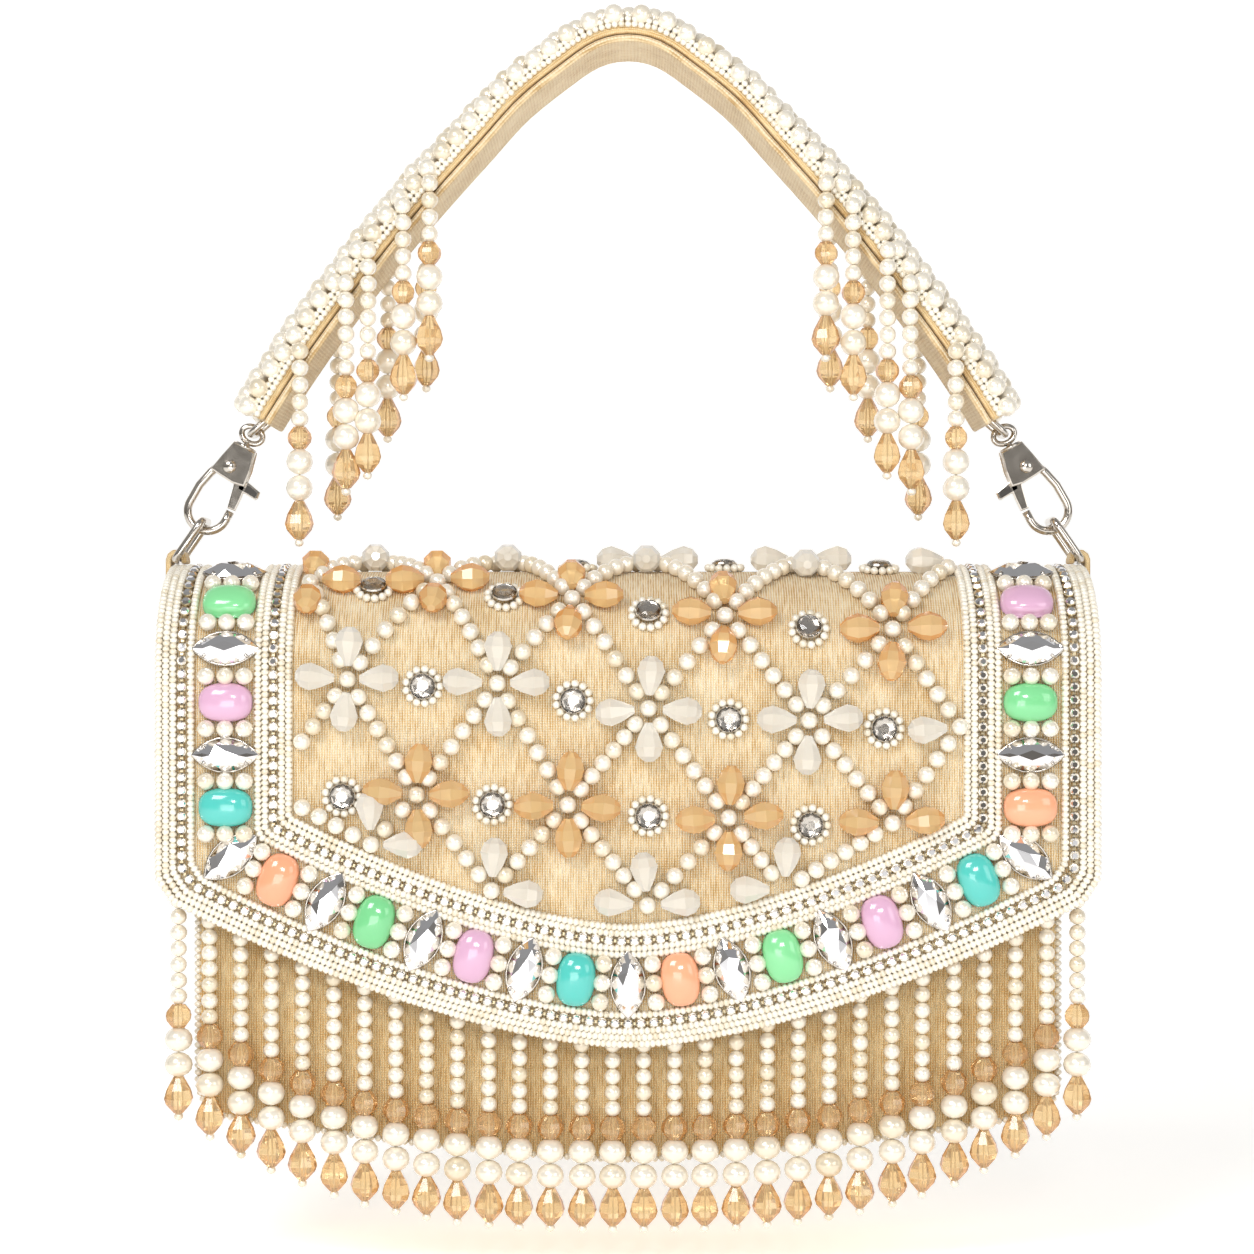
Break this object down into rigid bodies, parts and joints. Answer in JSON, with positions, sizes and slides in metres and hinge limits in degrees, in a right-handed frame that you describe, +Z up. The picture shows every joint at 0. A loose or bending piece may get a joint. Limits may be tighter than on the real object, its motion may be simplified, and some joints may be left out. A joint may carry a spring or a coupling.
{
  "type": "beaded clutch bag",
  "caption": "Silk flap clutch hanging by its beaded handle, with a jewelled border, a pearl lattice and a bead fringe under the flap",
  "frame": {"origin": "the underside of the handle's peak, where the bag hangs", "axes": "+X to the right and +Y to the back as the front is seen, +Z up"},
  "size_m": [0.2302, 0.0656, 0.2942],
  "materials": {
    "silk": "champagne raw silk with slubs",
    "brocade": "woven brocade tape",
    "pearl": "cream imitation pearl",
    "crystal": "foil-backed clear crystal",
    "mint": "polished opaque cabochon",
    "lilac": "polished opaque cabochon",
    "turquoise": "polished opaque cabochon",
    "peach": "polished opaque cabochon",
    "nickel": "polished nickel plate"
  },
  "bodies": {
    "bag": {"bag_shell": "silk", "cabochon_1": "mint", "cabochon_10": "lilac", "cabochon_11": "turquoise", "cabochon_12": "peach", "cabochon_13": "mint", "cabochon_14": "lilac", "cabochon_2": "lilac", "cabochon_3": "turquoise", "cabochon_4": "peach", "cabochon_5": "mint", "cabochon_6": "lilac", "cabochon_7": "turquoise", "cabochon_8": "peach", "cabochon_9": "mint", "flap": "silk", "flap_fringe": "pearl", "handle_band": "silk", "handle_fringe_left_front": "pearl", "handle_fringe_left_rear": "pearl", "handle_fringe_right_front": "pearl", "handle_fringe_right_rear": "pearl", "handle_lining": "brocade", "inner_trim": "pearl", "magnet_snap": "nickel", "marquise_1": "crystal", "marquise_10": "crystal", "marquise_11": "crystal", "marquise_12": "crystal", "marquise_13": "crystal", "marquise_14": "crystal", "marquise_15": "crystal", "marquise_2": "crystal", "marquise_3": "crystal", "marquise_4": "crystal", "marquise_5": "crystal", "marquise_6": "crystal", "marquise_7": "crystal", "marquise_8": "crystal", "marquise_9": "crystal", "outer_trim": "pearl", "pearl_lattice": "pearl", "side_ring_left": "nickel", "side_ring_right": "nickel", "side_tab_left": "silk", "side_tab_right": "silk", "strap_ring_left": "nickel", "strap_ring_right": "nickel", "swivel_eye_left": "nickel", "swivel_eye_right": "nickel"},
    "hook_left": {"hook_frame_left": "nickel"},
    "gate_left": {"hook_gate_left": "nickel"},
    "hook_right": {"hook_frame_right": "nickel"},
    "gate_right": {"hook_gate_right": "nickel"}
  },
  "joints": [
    {"name": "swivel_left", "type": "hinge", "parent": "bag", "child": "hook_left", "pos_m": [-0.0942, 0, -0.0964], "axis": [0.4695, 0, 0.8829], "range_deg": [-30, 30]},
    {"name": "gate_hinge_left", "type": "hinge", "parent": "hook_left", "child": "gate_left", "pos_m": [-0.09926, 0, -0.10379], "axis": [0, 1, 0], "range_deg": [0, 25], "stiffness_Nm_per_rad": 0.02, "springref_deg": -28.65},
    {"name": "swivel_right", "type": "hinge", "parent": "bag", "child": "hook_right", "pos_m": [0.0942, 0, -0.0964], "axis": [-0.4695, 0, 0.8829], "range_deg": [-30, 30]},
    {"name": "gate_hinge_right", "type": "hinge", "parent": "hook_right", "child": "gate_right", "pos_m": [0.09926, 0, -0.10379], "axis": [0, -1, 0], "range_deg": [0, 25], "stiffness_Nm_per_rad": 0.02, "springref_deg": -28.65}
  ]
}
